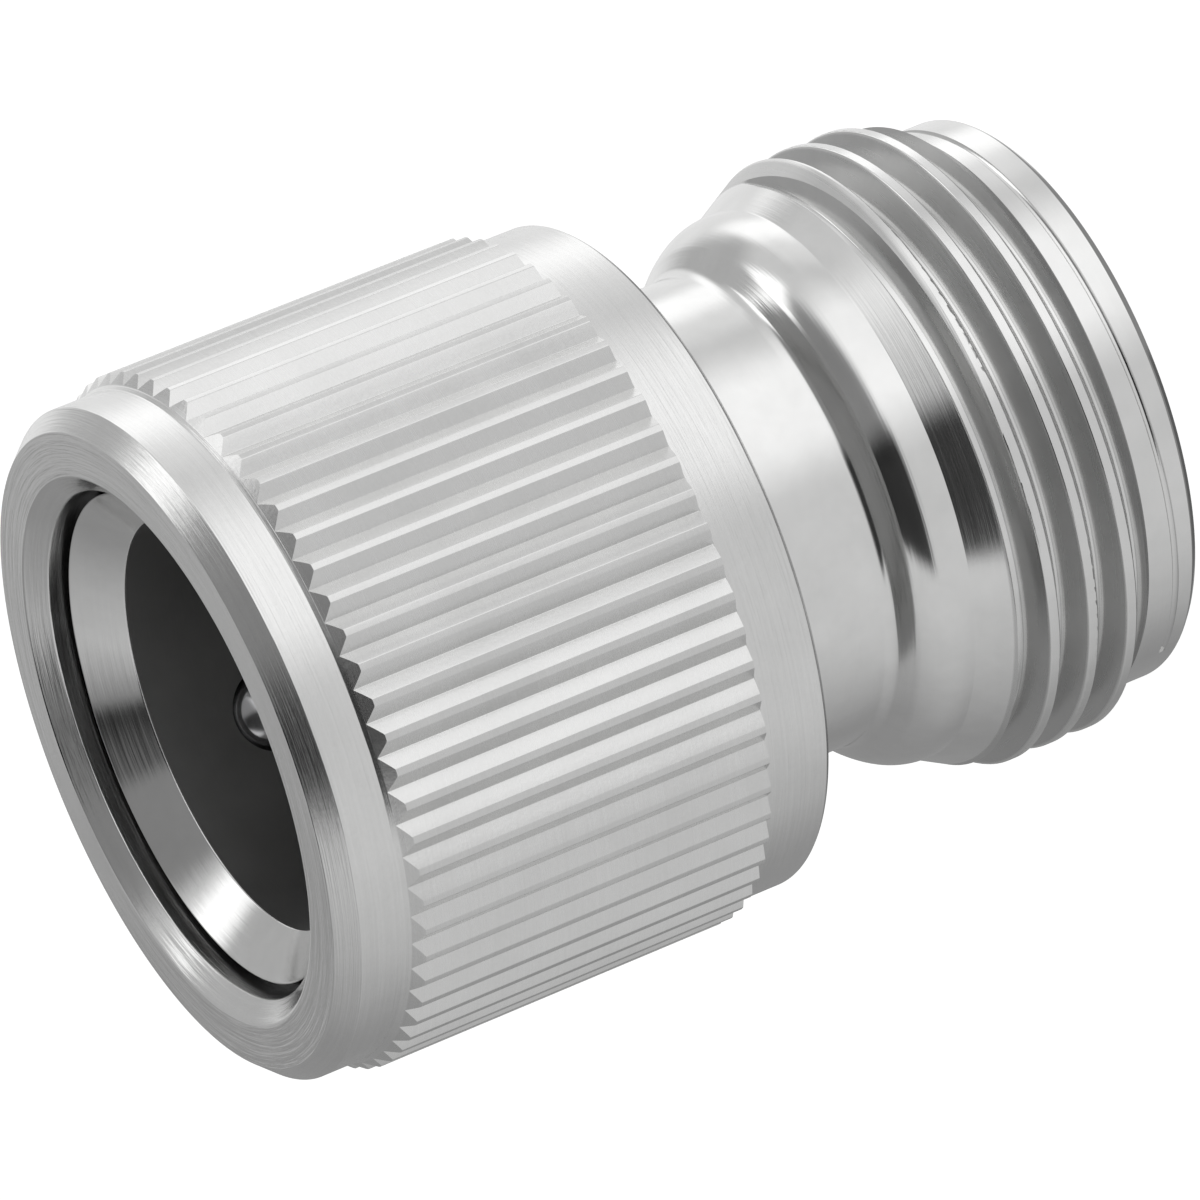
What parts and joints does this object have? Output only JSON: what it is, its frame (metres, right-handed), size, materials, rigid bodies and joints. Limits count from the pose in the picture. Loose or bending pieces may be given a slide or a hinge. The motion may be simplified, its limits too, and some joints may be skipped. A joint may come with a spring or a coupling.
{
  "type": "quick coupling",
  "caption": "Ball-lock quick coupling socket with a knurled spring sleeve at one end and a male pipe thread at the other.",
  "frame": {"origin": "centre of the threaded end's face, on the axis", "axes": "+Z along the axis, out of the socket's mouth; the part stands on its threaded end"},
  "size_m": [0.0296, 0.0296, 0.0409],
  "materials": {
    "plated_body": "bright nickel plate",
    "plated_sleeve": "satin nickel plate with turning lines",
    "hard_steel": "polished",
    "spring_steel": "drawn wire",
    "seal_rubber": "matt"
  },
  "bodies": {
    "socket_body": {"body": "plated_body", "retaining_ring": "spring_steel", "socket_seal": "seal_rubber", "sleeve_spring": "spring_steel"},
    "sleeve": {"sleeve": "plated_sleeve"},
    "ball_1": {"locking_ball_1": "hard_steel"},
    "ball_2": {"locking_ball_2": "hard_steel"},
    "ball_3": {"locking_ball_3": "hard_steel"},
    "ball_4": {"locking_ball_4": "hard_steel"},
    "ball_5": {"locking_ball_5": "hard_steel"},
    "ball_6": {"locking_ball_6": "hard_steel"}
  },
  "joints": [
    {"name": "sleeve_slide", "type": "slide", "parent": "socket_body", "child": "sleeve", "axis": [0, 0, -1], "range_m": [0, 0.002], "stiffness_N_per_m": 430, "springref_m": -0.008, "deforming": ["sleeve_spring"]},
    {"name": "ball_1_slide", "type": "slide", "parent": "socket_body", "child": "ball_1", "axis": [0, 1, 0], "range_m": [0, 0.00056]},
    {"name": "ball_2_slide", "type": "slide", "parent": "socket_body", "child": "ball_2", "axis": [-0.866, 0.5, 0], "range_m": [0, 0.00056]},
    {"name": "ball_3_slide", "type": "slide", "parent": "socket_body", "child": "ball_3", "axis": [-0.866, -0.5, 0], "range_m": [0, 0.00056]},
    {"name": "ball_4_slide", "type": "slide", "parent": "socket_body", "child": "ball_4", "axis": [0, -1, 0], "range_m": [0, 0.00056]},
    {"name": "ball_5_slide", "type": "slide", "parent": "socket_body", "child": "ball_5", "axis": [0.866, -0.5, 0], "range_m": [0, 0.00056]},
    {"name": "ball_6_slide", "type": "slide", "parent": "socket_body", "child": "ball_6", "axis": [0.866, 0.5, 0], "range_m": [0, 0.00056]}
  ],
  "couplings": [
    {"joint": "ball_1_slide", "follows": "sleeve_slide", "ratio": 0.28},
    {"joint": "ball_2_slide", "follows": "sleeve_slide", "ratio": 0.28},
    {"joint": "ball_3_slide", "follows": "sleeve_slide", "ratio": 0.28},
    {"joint": "ball_4_slide", "follows": "sleeve_slide", "ratio": 0.28},
    {"joint": "ball_5_slide", "follows": "sleeve_slide", "ratio": 0.28},
    {"joint": "ball_6_slide", "follows": "sleeve_slide", "ratio": 0.28}
  ]
}
